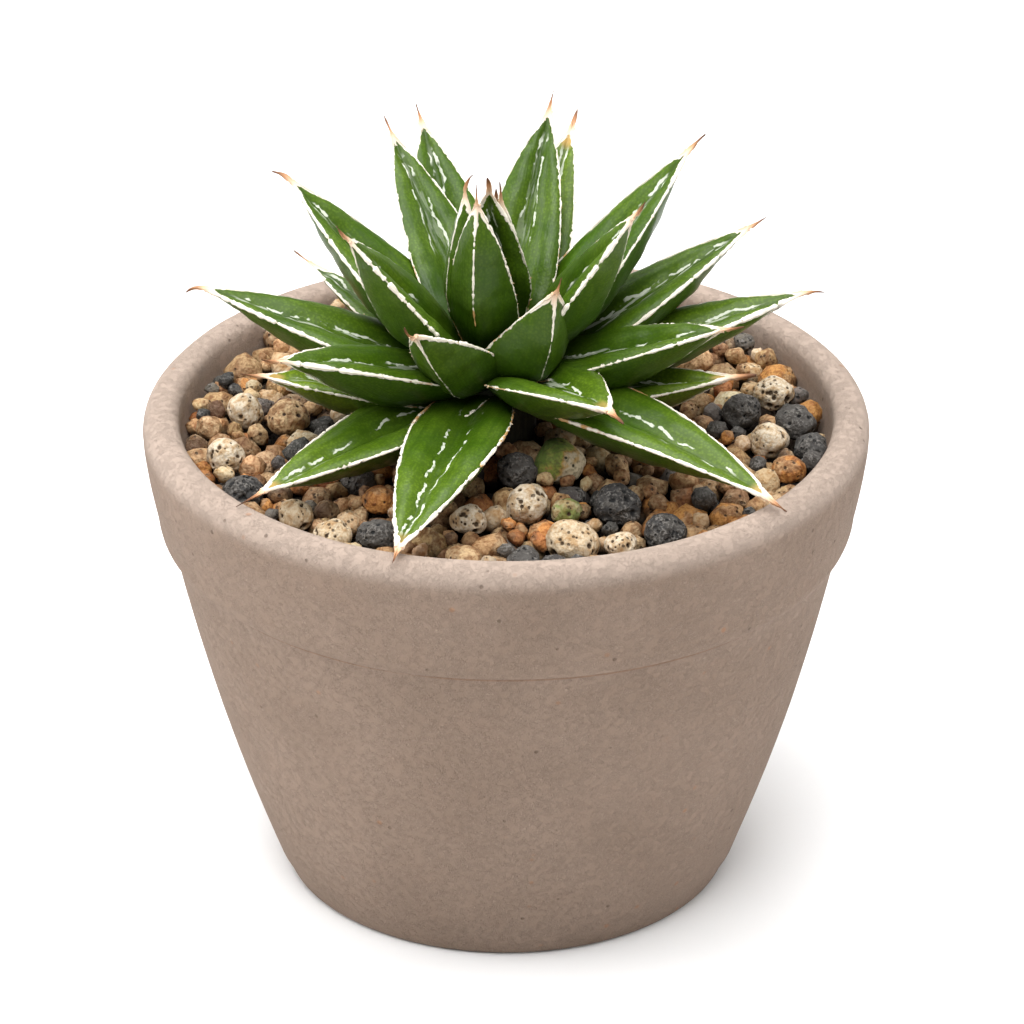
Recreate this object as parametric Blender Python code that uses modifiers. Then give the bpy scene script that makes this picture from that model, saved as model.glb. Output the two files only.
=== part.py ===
"""Potted agave: a small white-edged rosette in a collared clay pot dressed with gravel.

Metres, +Z up.  The origin is the centre of the pot's foot, on the surface that it stands on.
The front of the plant faces -Y.
"""

import math

import bmesh
import bpy
from mathutils import Matrix, Vector, noise
from mathutils.bvhtree import BVHTree

MM = 0.001
GAP = 0.3 * MM  # clearance that separate pieces keep

# The pot: its turned outside, from the foot up.
FOOT_RADIUS = 43.9 * MM
FOOT_ROUNDING = 1.2 * MM
BODY_TOP = 72.6 * MM  # where the body meets the collar
BODY_TOP_RADIUS = 65.0 * MM
BODY_BULGE = 1.65 * MM  # how far the body's side bows out at half height
COLLAR_LIP = 2.6 * MM
COLLAR_LIP_HEIGHT = 4.9 * MM
WIDEST_HEIGHT = 93.3 * MM
WIDEST_RADIUS = 70.0 * MM
RIM_TOP = 97.1 * MM
RIM_FLAT_RADIUS = 66.3 * MM  # where the outer rounding of the rim reaches its flat top
RIM_INNER_RADIUS = 64.1 * MM
RIM_INNER_ROUNDING = 2.4 * MM
# The pot's inside.
WALL_TOP_RADIUS = 62.5 * MM
WALL_TOP = 91.0 * MM
FLOOR_RADIUS = 35.0 * MM
FLOOR_HEIGHT = 7.0 * MM
FLOOR_ROUNDING = 4.0 * MM
DRAIN_RADIUS = 6.0 * MM
POT_STEPS = 40

# What fills it.  The gravel rises towards the back, and is heaped round the stem.
SOIL_TOP = 79.0 * MM
SOIL_STEPS = 32
GRAVEL_TOP = 91.9 * MM
GRAVEL_SLOPE = 0.05
HEAP_HEIGHT = 3.0 * MM
HEAP_RADIUS = 20.0 * MM
GRAVEL_LUMPS = 1.4 * MM
LUMP_SPACING = 9.0 * MM
GRAVEL_RINGS = (0.0, 0.12, 0.26, 0.4, 0.54, 0.68, 0.82, 0.94)  # shares of the bed's radius
GRAVEL_STEPS = 36
WALL_DIP = 1.2 * MM  # how far the gravel sinks where it meets the wall

# The plant's short stem, a little off the pot's axis.
STEM_X = -2.5 * MM
STEM_Y = -2.0 * MM
STEM_PROFILE = (  # radius, height in mm, top to bottom
    (2.2, 113.5),
    (3.6, 112.4),
    (5.4, 108.5),
    (7.4, 103.5),
    (8.4, 98.0),
    (8.2, 92.0),
    (7.4, 84.0),
    (5.8, 75.0),
    (2.6, 69.0),
)
STEM_STEPS = 20

# A leaf's section: shares of its half width at each point along it.
LEAF_STATIONS = (0.0, 0.12, 0.28, 0.46, 0.64, 0.8, 0.92, 1.0)
WIDEST_STATION = 0.32
BASE_WIDTH = 0.56
ROOT_DEPTH = 0.5
FULL_DEPTH = 0.95
FULL_DEPTH_STATION = 0.42
THINNING_STATION = 0.75
TIP_THINNING = 0.3
CHANNEL_DEPTH = 0.1
FLANK_X = 0.56
FLANK_Z = 0.66
MARGIN_THICKNESS = 0.7 * MM
TIP_HALF_WIDTH = 0.65 * MM
SPINE_LENGTH = 4.0 * MM
SPINE_WAIST = 0.45
SPINE_WAIST_RADIUS = 0.42 * MM
SPINE_TIP_RADIUS = 0.18 * MM
LEAF_REACH = 4.0 * MM  # how far from the stem's axis a leaf's centreline starts

# Leaves, from the innermost out.  Angles in degrees, lengths in mm: azimuth, lift where the leaf
# leaves the stem, how much the lift changes along it, length, width, height where it starts, roll.
LEAVES = {
    "furled_leaf": (75, 93, 0, 26, 6, 112.5, 0),
    "bud_leaf_back": (80, 102, 3, 34, 14, 112, 0),
    "bud_leaf_front": (254, 77, 4, 35, 13.6, 111, 0),
    "bud_leaf_left": (215, 84, 4, 33.5, 12.2, 111, 0),
    "bud_leaf_right": (70, 87, 4, 28.5, 11, 111, 0),
    "inner_leaf_front": (306, 49, 12, 28.5, 17.5, 106.5, -12),
    "inner_leaf_left": (212, 52, -6, 42.5, 18.5, 109, -20),
    "inner_leaf_right": (335, 57, -6, 43, 17.5, 109, 20),
    "inner_leaf_back_left": (118, 40, -4, 48.5, 15, 109, 0),
    "inner_leaf_back_right": (72, 51.5, -4, 48, 16.5, 109, 0),
    "short_leaf_left": (238, 47, -16, 31.5, 16.5, 104.5, 20),
    "short_leaf_right": (304, 25, -30, 36.5, 19.5, 106.5, 0),
    "middle_leaf_back": (108, 41, -6, 53, 17, 106, 0),
    "middle_leaf_back_right": (70, 40, -4, 52, 16, 106, 0),
    "middle_leaf_back_left": (156, 41.5, -4, 50, 18.5, 106, 0),
    "middle_leaf_right_back": (24, 48, -4, 53.5, 18.5, 106, 0),
    "middle_leaf_right": (343, 25, -10, 44.5, 20, 105.5, 0),
    "middle_leaf_left": (210, 25, -14, 44.5, 19, 105, 0),
    "outer_leaf_left": (174, 22, -8, 54.5, 19, 103.5, 0),
    "outer_leaf_right_back": (18, 29.5, -4, 54, 19, 103.5, 0),
    "outer_leaf_right": (7, 18.5, -6, 58.5, 19, 103, 0),
    "outer_leaf_front_right": (320.5, 9.5, -28, 64, 18.5, 104.5, 0),
    "outer_leaf_front": (254.5, 5, -18, 61, 18, 103.5, 0),
    "outer_leaf_front_left": (221.5, -1, -8, 54, 18, 103.5, 0),
    "lower_leaf_right": (352, 8.5, 0, 43, 18, 101, 0),
    "lower_leaf_left": (190, 10, 0, 41.5, 17, 101, 0),
    "lower_leaf_back_left": (138, 15.5, 0, 46.5, 10.5, 101, 0),
    "lower_leaf_back": (95, 13, -4, 46, 17, 102, 0),
    "lower_leaf_back_right": (47, 10, -4, 40, 17, 101.5, 0),
}
LONG_SPINES = {"outer_leaf_front_left": 6.0 * MM}

# The larger stones: place, how far the centre stands above the gravel's level and mean size, all
# in mm, then flatness and kind.
STONES = {
    "pumice_1": (-50.5, 6.5, 0.5, 7.4, 0.92, "cream"),
    "pumice_2": (-53.5, -11.5, 0.5, 7.6, 0.95, "cream"),
    "pumice_3": (-39.5, -34, 0.5, 7.0, 0.9, "cream"),
    "pumice_4": (-32.5, -41, 0.5, 7.4, 0.72, "cream"),
    "pumice_5": (-7, -36, 0.5, 7.0, 0.85, "cream"),
    "pumice_6": (4, -31.5, 1.0, 8.0, 0.92, "cream"),
    "pumice_7": (12.5, -44, 0.3, 10.4, 0.82, "cream"),
    "pumice_8": (21.5, -44, 0.0, 6.2, 0.75, "cream"),
    "pumice_9": (50.5, -5.5, 0.5, 8.0, 0.95, "cream"),
    "pumice_10": (52, 13, 0.5, 8.0, 0.8, "cream"),
    "lava_stone_1": (-50, -24.5, 0.0, 8.4, 0.75, "dark"),
    "lava_stone_2": (-24, -41, 0.3, 7.6, 0.85, "dark"),
    "lava_stone_3": (2, -20, 1.0, 7.6, 0.95, "dark"),
    "lava_stone_4": (21, -31.5, 1.0, 9.2, 0.9, "dark"),
    "lava_stone_5": (29.5, -40.5, 0.5, 8.0, 0.9, "dark"),
    "lava_stone_6": (45.5, 6.5, 0.5, 7.4, 0.95, "dark"),
    "lava_stone_7": (56, 2, 0.5, 8.0, 0.8, "dark"),
    "lava_stone_8": (3.5, -50, 0.0, 6.6, 0.75, "dark"),
    "clay_pebble_1": (-42, 3.5, 0.5, 8.4, 0.8, "tan"),
    "clay_pebble_2": (-24, -28.5, 0.5, 6.6, 0.85, "tan"),
    "clay_pebble_3": (54, -16.5, 0.3, 6.8, 0.75, "tan"),
    "clay_pebble_4": (-8, -49, 0.0, 6.8, 0.75, "tan"),
    "clay_pebble_5": (16, 53, 1.2, 8.6, 0.95, "tan"),
    "clay_pebble_6": (-20, 52, 1.2, 8.6, 0.95, "tan"),
    "mossy_stone": (10, -15.5, 0.2, 9.4, 1.0, "green"),
    "green_pebble": (11.5, -33, 0.5, 6.0, 0.85, "green"),
}
STONE_UNEVENNESS = 0.22
STONE_DENTS = 1.3  # how many dents go round a stone, about
STONE_TURN = 2.4  # radians that each stone is turned from the one before it

# Colour, roughness.
CLAY = ((0.30, 0.205, 0.155, 1.0), 0.88)
SOIL = ((0.035, 0.024, 0.017, 1.0), 0.95)
GRAVEL = ((0.20, 0.13, 0.085, 1.0), 0.9)
LEAF = ((0.085, 0.19, 0.04, 1.0), 0.42)
STEM = ((0.24, 0.25, 0.10, 1.0), 0.6)
STONE_COLOURS = {
    "cream": ((0.58, 0.50, 0.38, 1.0), 0.9),
    "dark": ((0.045, 0.045, 0.048, 1.0), 0.85),
    "tan": ((0.32, 0.17, 0.08, 1.0), 0.85),
    "green": ((0.22, 0.25, 0.09, 1.0), 0.9),
}


def clear_scene():
    for obj in list(bpy.data.objects):
        bpy.data.objects.remove(obj, do_unlink=True)


def new_collection(name):
    collection = bpy.data.collections.new(name)
    bpy.context.scene.collection.children.link(collection)
    return collection


def make_material(name, finish):
    colour, roughness = finish
    material = bpy.data.materials.new(name)
    material.use_nodes = True
    shader = material.node_tree.nodes["Principled BSDF"]
    shader.inputs["Base Color"].default_value = colour
    shader.inputs["Roughness"].default_value = roughness
    shader.inputs["Metallic"].default_value = 0.0
    material.diffuse_color = colour
    return material


def add_object(name, mesh, collection, material=None):
    obj = bpy.data.objects.new(name, mesh)
    collection.objects.link(obj)
    if material:
        mesh.materials.append(material)
    return obj


def mark_as_cutter(obj):
    obj.hide_render = True
    obj.display_type = "WIRE"
    return obj


def cut(obj, cutter, solver="EXACT"):
    """Takes the cutter out of the object.

    The exact solver leaves open edges where several cutters graze one another, as leaf roots and
    stone pockets do, so those are cut with the manifold solver.
    """
    boolean = obj.modifiers.new("cut by " + cutter.name, "BOOLEAN")
    boolean.operation = "DIFFERENCE"
    boolean.solver = solver
    boolean.object = cutter


def apply_cuts(obj):
    """Makes the cuts part of the mesh, and drops the offcuts that they leave."""
    graph = bpy.context.evaluated_depsgraph_get()
    mesh = bpy.data.meshes.new_from_object(obj.evaluated_get(graph))
    shape = bmesh.new()
    shape.from_mesh(mesh)
    bmesh.ops.remove_doubles(shape, verts=shape.verts, dist=0.01 * MM)
    bmesh.ops.dissolve_degenerate(shape, edges=shape.edges, dist=0.01 * MM)
    islands = []
    left = set(shape.verts)
    while left:
        island, front = set(), [next(iter(left))]
        while front:
            vert = front.pop()
            if vert in island:
                continue
            island.add(vert)
            front.extend(edge.other_vert(vert) for edge in vert.link_edges)
        islands.append(island)
        left -= island
    largest = max(islands, key=len)
    offcuts = [vert for vert in shape.verts if vert not in largest]
    bmesh.ops.delete(shape, geom=offcuts, context="VERTS")
    shape.to_mesh(mesh)
    shape.free()
    obj.modifiers.clear()
    obj.data = mesh


# Turned pieces ---------------------------------------------------------------------------------


def turned(name, profile, steps, collection, material=None, ring=False):
    """A solid of revolution: its profile runs down the outside, and a ring's closes on itself."""
    mesh = bpy.data.meshes.new(name)
    edges = [(i, i + 1) for i in range(len(profile) - 1)]
    if ring:
        edges.append((len(profile) - 1, 0))
    mesh.from_pydata([(radius, 0.0, height) for radius, height in profile], edges, [])
    obj = add_object(name, mesh, collection, material)
    screw = obj.modifiers.new("turn", "SCREW")
    screw.axis = "Z"
    screw.steps = screw.render_steps = steps
    screw.use_merge_vertices = True
    screw.merge_threshold = 0.01 * MM
    return obj


def quarter(centre, radii, start, end, points):
    """Points on a quarter ellipse in the profile's plane, angles in degrees."""
    found = []
    for i in range(points + 1):
        angle = math.radians(start + (end - start) * i / points)
        found.append(
            (centre[0] + radii[0] * math.cos(angle), centre[1] + radii[1] * math.sin(angle))
        )
    return found


def body_radius(height):
    share = height / BODY_TOP
    return (
        FOOT_RADIUS
        + (BODY_TOP_RADIUS - FOOT_RADIUS) * share
        + BODY_BULGE * 4 * share * (1 - share)
    )


def inner_radius(height):
    """The inside wall's radius: straight from the floor to the foot of the rim."""
    share = (height - FLOOR_HEIGHT) / (WALL_TOP - FLOOR_HEIGHT)
    return FLOOR_RADIUS + (WALL_TOP_RADIUS - FLOOR_RADIUS) * share


def pot_profile():
    lip_radius = BODY_TOP_RADIUS + COLLAR_LIP
    lip_height = BODY_TOP + COLLAR_LIP_HEIGHT
    rim = quarter(
        (RIM_FLAT_RADIUS, WIDEST_HEIGHT),
        (WIDEST_RADIUS - RIM_FLAT_RADIUS, RIM_TOP - WIDEST_HEIGHT),
        90,
        0,
        5,
    )
    collar = []
    for share in (0.66, 0.33):
        bow = 1 - (1 - share) ** 1.5
        collar.append(
            (
                lip_radius + (WIDEST_RADIUS - lip_radius) * bow,
                lip_height + (WIDEST_HEIGHT - lip_height) * share,
            )
        )
    lip = quarter(
        (BODY_TOP_RADIUS, lip_height), (COLLAR_LIP, COLLAR_LIP_HEIGHT), 0, -90, 3
    )
    body = [(body_radius(BODY_TOP * share), BODY_TOP * share) for share in (0.8, 0.6, 0.4, 0.2)]
    foot = quarter(
        (FOOT_RADIUS - FOOT_ROUNDING, FOOT_ROUNDING), (FOOT_ROUNDING, FOOT_ROUNDING), 0, -90, 2
    )
    drain = [(DRAIN_RADIUS, 0.0), (DRAIN_RADIUS, FLOOR_HEIGHT)]
    floor = quarter(
        (FLOOR_RADIUS - FLOOR_ROUNDING, FLOOR_HEIGHT + FLOOR_ROUNDING),
        (FLOOR_ROUNDING + 1.2 * MM, FLOOR_ROUNDING),
        -90,
        0,
        3,
    )
    inside = [(WALL_TOP_RADIUS, WALL_TOP)]
    inner_rim = quarter(
        (RIM_INNER_RADIUS + RIM_INNER_ROUNDING * 0.5, RIM_TOP - RIM_INNER_ROUNDING),
        (RIM_INNER_ROUNDING, RIM_INNER_ROUNDING),
        180,
        90,
        3,
    )
    return rim + collar + lip + body + foot + drain + floor + inside + inner_rim


def make_pot(collection):
    clay = make_material("fibre clay", CLAY)
    turned("pot", pot_profile(), POT_STEPS, collection, clay, ring=True)


def make_stem(name, grow, collection, material=None):
    """The stem and root crown, or with some growth the cutter that makes room for it."""
    profile = [(radius * MM + grow, height * MM) for radius, height in STEM_PROFILE]
    top, bottom = profile[0][1] + grow, profile[-1][1] - grow
    profile = [(0.0, top), (profile[0][0], top)] + profile[1:-1]
    profile += [(STEM_PROFILE[-1][0] * MM + grow, bottom), (0.0, bottom)]
    stem = turned(name, profile, STEM_STEPS, collection, material)
    stem.location = (STEM_X, STEM_Y, 0.0)
    return stem


def make_soil(collection, stem_room):
    """The soil: a plug that follows the pot's inside, with its lower corner cut off."""
    low = FLOOR_HEIGHT + GAP
    corner = FLOOR_ROUNDING + GAP
    bevel = 0.25 * corner
    profile = [
        (0.0, SOIL_TOP),
        (inner_radius(SOIL_TOP) - 2 * GAP, SOIL_TOP),
        (inner_radius(low + corner) - 2 * GAP, low + corner),
        (inner_radius(low + bevel) - bevel - GAP, low + bevel),
        (inner_radius(low) - corner, low),
        (0.0, low),
    ]
    material = make_material("potting soil", SOIL)
    soil = turned("soil", profile, SOIL_STEPS, collection, material)
    cut(soil, stem_room)


def gravel_level(x, y):
    """The height of the gravel's top, its lumps apart."""
    away = math.hypot(x - STEM_X, y - STEM_Y) / HEAP_RADIUS
    return GRAVEL_TOP + GRAVEL_SLOPE * y + HEAP_HEIGHT * math.exp(-(away**2))


def make_gravel_bed(collection, cutters):
    """The packed small gravel: a thick disc with a lumpy top and a pocket for each larger stone."""
    low = SOIL_TOP + GAP
    lowest_rim = GRAVEL_TOP - WALL_DIP - GRAVEL_SLOPE * WALL_TOP_RADIUS
    rim = inner_radius(lowest_rim) - 2 * GAP
    profile = [(rim * share, GRAVEL_TOP) for share in GRAVEL_RINGS]
    profile += [
        (rim, GRAVEL_TOP - WALL_DIP),
        (inner_radius(low) - 2 * GAP, low),
        (0.0, low),
    ]
    material = make_material("mixed gravel", GRAVEL)
    bed = turned("gravel_bed", profile, GRAVEL_STEPS, collection, material)
    graph = bpy.context.evaluated_depsgraph_get()
    mesh = bpy.data.meshes.new_from_object(bed.evaluated_get(graph))
    bed.modifiers.clear()
    bed.data = mesh
    for vert in mesh.vertices:
        if vert.co.z > (low + GRAVEL_TOP) / 2:
            vert.co.z += gravel_level(vert.co.x, vert.co.y) - GRAVEL_TOP
            if math.hypot(vert.co.x, vert.co.y) < 0.99 * rim:
                vert.co.z += GRAVEL_LUMPS * noise.noise(vert.co / LUMP_SPACING)
    for cutter in cutters:
        cut(bed, cutter, "MANIFOLD")
    apply_cuts(bed)


def stone_mesh(name, size, flatness, seed):
    """A worn stone: a ball pushed in and out by noise and pressed a little flat."""
    shape = bmesh.new()
    bmesh.ops.create_icosphere(shape, subdivisions=2, radius=size / 2)
    start = Vector((seed * 3.7, 0.0, 0.0))
    for vert in shape.verts:
        dent = noise.noise(vert.co.normalized() * STONE_DENTS + start)
        vert.co *= 1.0 + STONE_UNEVENNESS * dent
        vert.co.z *= flatness
    mesh = bpy.data.meshes.new(name)
    shape.to_mesh(mesh)
    shape.free()
    return mesh


def make_stones(collection, cutters):
    """The stones, and a slightly larger copy of each that presses its pocket into the gravel."""
    materials = {
        kind: make_material(kind + " stone", finish) for kind, finish in STONE_COLOURS.items()
    }
    pockets = []
    for number, (name, row) in enumerate(STONES.items()):
        x, y, rise, size = [value * MM for value in row[:4]]
        flatness, kind = row[4:]
        mesh = stone_mesh(name, size, flatness, number)
        mesh.materials.append(materials[kind])
        turn = Matrix.Rotation(number * STONE_TURN, 4, "Z")
        place = Matrix.Translation((x, y, gravel_level(x, y) + rise)) @ turn
        stone = add_object(name, mesh, collection)
        stone.matrix_world = place
        pocket = add_object("room for " + name, mesh.copy(), cutters)
        pocket.matrix_world = place @ Matrix.Scale(1 + 2.6 * GAP / (size * flatness), 4)
        pockets.append(mark_as_cutter(pocket))
    return pockets


# Leaves ----------------------------------------------------------------------------------------


def half_width(share, width):
    """A leaf's half width: fullest a third of the way out, then drawn in to the tip."""
    if share < WIDEST_STATION:
        swell = math.sin(math.pi / 2 * share / WIDEST_STATION)
        return width / 2 * (BASE_WIDTH + (1 - BASE_WIDTH) * swell)
    run = (share - WIDEST_STATION) / (1 - WIDEST_STATION)
    return max(width / 2 * (1 - run**1.6) ** 0.92, TIP_HALF_WIDTH)


def keel_depth(share, half):
    """How far the keel hangs below the leaf's upper face."""
    swell = min(share / FULL_DEPTH_STATION, 1.0)
    depth = ROOT_DEPTH + (FULL_DEPTH - ROOT_DEPTH) * swell
    if share > THINNING_STATION:
        depth *= 1 - TIP_THINNING * (share - THINNING_STATION) / (1 - THINNING_STATION)
    return half * depth


def centreline(row, distance):
    """Place and lift of the leaf's centreline, an arc in an upright plane, at a distance along."""
    azimuth, lift, bend, length = [math.radians(v) for v in row[:3]] + [row[3] * MM]
    outward = Vector((math.cos(azimuth), math.sin(azimuth), 0.0))
    start = Vector((STEM_X, STEM_Y, row[5] * MM)) + outward * LEAF_REACH
    rate = bend / length
    if abs(rate) < 1e-6:
        along, up = distance * math.cos(lift), distance * math.sin(lift)
    else:
        now = lift + rate * distance
        along = (math.sin(now) - math.sin(lift)) / rate
        up = (math.cos(lift) - math.cos(now)) / rate
    return start + outward * along + Vector((0.0, 0.0, up)), lift + rate * distance


def leaf_axes(row, lift):
    """Unit vectors across the leaf and up from its upper face, turned by the leaf's roll."""
    azimuth = math.radians(row[0])
    across = Vector((-math.sin(azimuth), math.cos(azimuth), 0.0))
    along = Vector(
        (
            math.cos(lift) * math.cos(azimuth),
            math.cos(lift) * math.sin(azimuth),
            math.sin(lift),
        )
    )
    turn = Matrix.Rotation(math.radians(row[6]), 3, along)
    return turn @ across, turn @ along.cross(across)


def blade_section(half, depth, channel, margin):
    """Eight points round the keeled section, across and up, from the left margin."""
    return (
        (half, margin),
        (0.0, -channel),
        (-half, margin),
        (-half, -margin),
        (-half * FLANK_X, -depth * FLANK_Z),
        (0.0, -depth),
        (half * FLANK_X, -depth * FLANK_Z),
        (half, -margin),
    )


def leaf_rings(row, spine_length, grow):
    """The leaf's sections from root to spine tip, all eight points each."""
    length, width = row[3] * MM, row[4] * MM
    rings = []
    for share in LEAF_STATIONS:
        place, lift = centreline(row, length * share)
        across, up = leaf_axes(row, lift)
        half = half_width(share, width)
        depth = max(keel_depth(share, half), 1.2 * TIP_HALF_WIDTH)
        margin = min(MARGIN_THICKNESS / 2, 0.4 * half)
        channel = CHANNEL_DEPTH * half - grow
        section = blade_section(half + grow, depth + grow, channel, margin + grow)
        rings.append([place + across * x + up * z for x, z in section])
    for share, radius in ((SPINE_WAIST, SPINE_WAIST_RADIUS), (1.0, SPINE_TIP_RADIUS)):
        place, lift = centreline(row, length + spine_length * share + grow)
        across, up = leaf_axes(row, lift)
        section = blade_section(radius + grow, radius + grow, -radius / 2 - grow, radius / 2)
        rings.append([place + across * x + up * z for x, z in section])
    return rings


def leaf_mesh(name, row, spine_length, grow=0.0):
    """A loft between unlike sections: broad keeled blade, drawn in to a round spine."""
    shape = bmesh.new()
    loops = []
    for ring in leaf_rings(row, spine_length, grow):
        verts = [shape.verts.new(point) for point in ring]
        loops.append([shape.edges.new((verts[i - 1], verts[i])) for i in range(len(verts))])
    for inner, outer in zip(loops, loops[1:]):
        bmesh.ops.bridge_loops(shape, edges=inner + outer)
    bmesh.ops.holes_fill(shape, edges=loops[0] + loops[-1], sides=0)
    bmesh.ops.triangulate(shape, faces=shape.faces)
    bmesh.ops.recalc_face_normals(shape, faces=shape.faces)
    mesh = bpy.data.meshes.new(name)
    shape.to_mesh(mesh)
    shape.free()
    return mesh


def touch(mesh, other):
    """Whether two meshes, both in world space, cross each other."""
    trees = []
    for each in (mesh, other):
        points = [vert.co for vert in each.vertices]
        trees.append(BVHTree.FromPolygons(points, [face.vertices for face in each.polygons]))
    return bool(trees[0].overlap(trees[1]))


def make_leaves(collection, cutters, stem_room):
    """Each leaf makes room for the stem and for the leaves inside it, which press into its root."""
    material = make_material("agave leaf", LEAF)
    rooms = []
    for name, row in LEAVES.items():
        spine = LONG_SPINES.get(name, SPINE_LENGTH)
        leaf = add_object(name, leaf_mesh(name, row, spine), collection, material)
        cut(leaf, stem_room, "MANIFOLD")
        for room in rooms:
            if touch(leaf.data, room.data):
                cut(leaf, room, "MANIFOLD")
        apply_cuts(leaf)
        leaf.data.shade_smooth()
        leaf.data.set_sharp_from_angle(angle=math.radians(50))
        room = add_object(
            "room for " + name, leaf_mesh("room for " + name, row, spine, GAP), cutters
        )
        rooms.append(mark_as_cutter(room))


def main():
    clear_scene()
    plant = new_collection("potted_agave")
    cutters = new_collection("cutters")
    make_pot(plant)
    make_stem("stem", 0.0, plant, make_material("agave stem", STEM))
    stem_room = mark_as_cutter(make_stem("room for stem", GAP, cutters))
    make_soil(plant, stem_room)
    make_leaves(plant, cutters, stem_room)
    pockets = make_stones(plant, cutters)
    make_gravel_bed(plant, [stem_room] + pockets)


main()
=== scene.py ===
"""Potted agave, dressed for pictures: white-edged leaves, loose gravel, a fibre-clay pot.

Every piece stands where its solid in the frame stands: metres, +Z up, the plant's front to -Y.
"""

import math
import random

import bpy
import numpy as np
from mathutils import Matrix, Vector, noise
from mathutils.bvhtree import BVHTree


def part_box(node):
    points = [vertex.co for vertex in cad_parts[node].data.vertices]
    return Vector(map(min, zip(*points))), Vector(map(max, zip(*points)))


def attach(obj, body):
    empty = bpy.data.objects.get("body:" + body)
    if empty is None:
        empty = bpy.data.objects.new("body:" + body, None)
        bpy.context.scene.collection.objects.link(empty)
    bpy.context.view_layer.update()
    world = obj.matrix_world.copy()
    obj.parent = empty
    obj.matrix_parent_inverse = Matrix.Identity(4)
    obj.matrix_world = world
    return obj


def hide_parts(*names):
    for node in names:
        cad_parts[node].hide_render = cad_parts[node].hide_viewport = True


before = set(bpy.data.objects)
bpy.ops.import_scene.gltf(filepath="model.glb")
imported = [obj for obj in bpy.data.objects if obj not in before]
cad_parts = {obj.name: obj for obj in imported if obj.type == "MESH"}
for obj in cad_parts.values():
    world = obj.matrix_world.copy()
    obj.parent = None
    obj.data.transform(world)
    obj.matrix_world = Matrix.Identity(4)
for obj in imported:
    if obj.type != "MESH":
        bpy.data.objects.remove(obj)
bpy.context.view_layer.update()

MM = 0.001

# Where the leaves leave the stem, and how large the pot is: the same as in the solids.
STEM = sum(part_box("stem"), Vector()) / 2
LEAF_REACH = 4.0 * MM
POT_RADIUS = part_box("pot")[1].x
POT_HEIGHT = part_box("pot")[1].z


# --- Working by hand ---


def choose(*objects):
    """Selects these alone, or nothing, and makes the last one active."""
    if bpy.context.mode != "OBJECT":
        bpy.ops.object.mode_set(mode="OBJECT")
    bpy.ops.object.select_all(action="DESELECT")
    for obj in objects:
        obj.select_set(True)
        bpy.context.view_layer.objects.active = obj


def edit(obj):
    """Opens a piece for editing with all of it selected."""
    choose(obj)
    bpy.ops.object.mode_set(mode="EDIT")
    bpy.ops.mesh.select_all(action="SELECT")


def done():
    bpy.ops.object.mode_set(mode="OBJECT")
    return bpy.context.object


def outline(name, points):
    """Draws a line by pulling one vertex from point to point."""
    choose()
    bpy.ops.mesh.primitive_plane_add(size=MM, location=points[0])
    obj = bpy.context.object
    obj.name = name
    bpy.ops.object.transform_apply()
    edit(obj)
    bpy.ops.mesh.merge(type="CENTER")
    for start, end in zip(points, points[1:]):
        bpy.ops.mesh.extrude_vertices_move(
            TRANSFORM_OT_translate={"value": Vector(end) - Vector(start)}
        )
    return done()


def add_object(name, data):
    made = bpy.data.objects.new(name, data)
    bpy.context.scene.collection.objects.link(made)
    return made


def thread(name, points):
    """A bare curve through points."""
    curve = bpy.data.curves.new(name, "CURVE")
    curve.dimensions = "3D"
    spline = curve.splines.new("POLY")
    spline.points.add(len(points) - 1)
    for knot, point in zip(spline.points, points):
        knot.co = (*point, 1.0)
    return add_object(name, curve)


def tube(name, points, radii):
    """A round strand along points, with its own radius at each."""
    obj = thread(name, points)
    obj.data.bevel_depth = MM
    obj.data.bevel_resolution = 1
    obj.data.use_fill_caps = True
    for knot, radius in zip(obj.data.splines[0].points, radii):
        knot.radius = radius / MM
    choose(obj)
    bpy.ops.object.convert(target="MESH")
    return bpy.context.object


def copy_of(piece, name):
    """A copy with its own mesh."""
    made = piece.copy()
    made.data = piece.data.copy()
    made.name = made.data.name = name
    bpy.context.scene.collection.objects.link(made)
    return made


def join(pieces, name):
    """Joins pieces into the last one."""
    choose(*pieces)
    bpy.ops.object.join()
    made = bpy.context.object
    made.name = made.data.name = name
    return made


def apply_all(obj):
    """Applies the piece's modifiers, in their order."""
    choose(obj)
    for modifier in list(obj.modifiers):
        bpy.ops.object.modifier_apply(modifier=modifier.name)


def points_of(mesh):
    """Where the mesh's points are, one row each."""
    found = np.empty(len(mesh.vertices) * 3, np.float32)
    mesh.vertices.foreach_get("co", found)
    return found.reshape(-1, 3).astype(float)


def give(mesh, name, values, kind="FLOAT"):
    """Stores one value for all the mesh's points, or one for each, for its material to read."""
    kinds = {"FLOAT": (1, "value"), "FLOAT_VECTOR": (3, "vector"), "FLOAT_COLOR": (4, "color")}
    width, field = kinds[kind]
    rows = np.asarray(values, np.float32).reshape(-1, width)
    rows = np.broadcast_to(rows, (len(mesh.vertices), width))
    layer = mesh.attributes.get(name) or mesh.attributes.new(name, kind, "POINT")
    layer.data.foreach_set(field, rows.ravel())


def take(mesh, name):
    """Reads back one number for each of the mesh's points."""
    layer = mesh.attributes[name]
    found = np.empty(len(layer.data), np.float32)
    layer.data.foreach_get("value", found)
    return found


def group(obj, name, verts):
    """Puts points in a vertex group, at full weight."""
    obj.vertex_groups.new(name=name).add(list(verts), 1.0, "REPLACE")


def unevenness(name, size, depth=2):
    """Clouds for a displacement, made once and then shared."""
    texture = bpy.data.textures.get(name) or bpy.data.textures.new(name, "CLOUDS")
    texture.noise_scale = size
    texture.noise_depth = depth
    return texture


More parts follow.
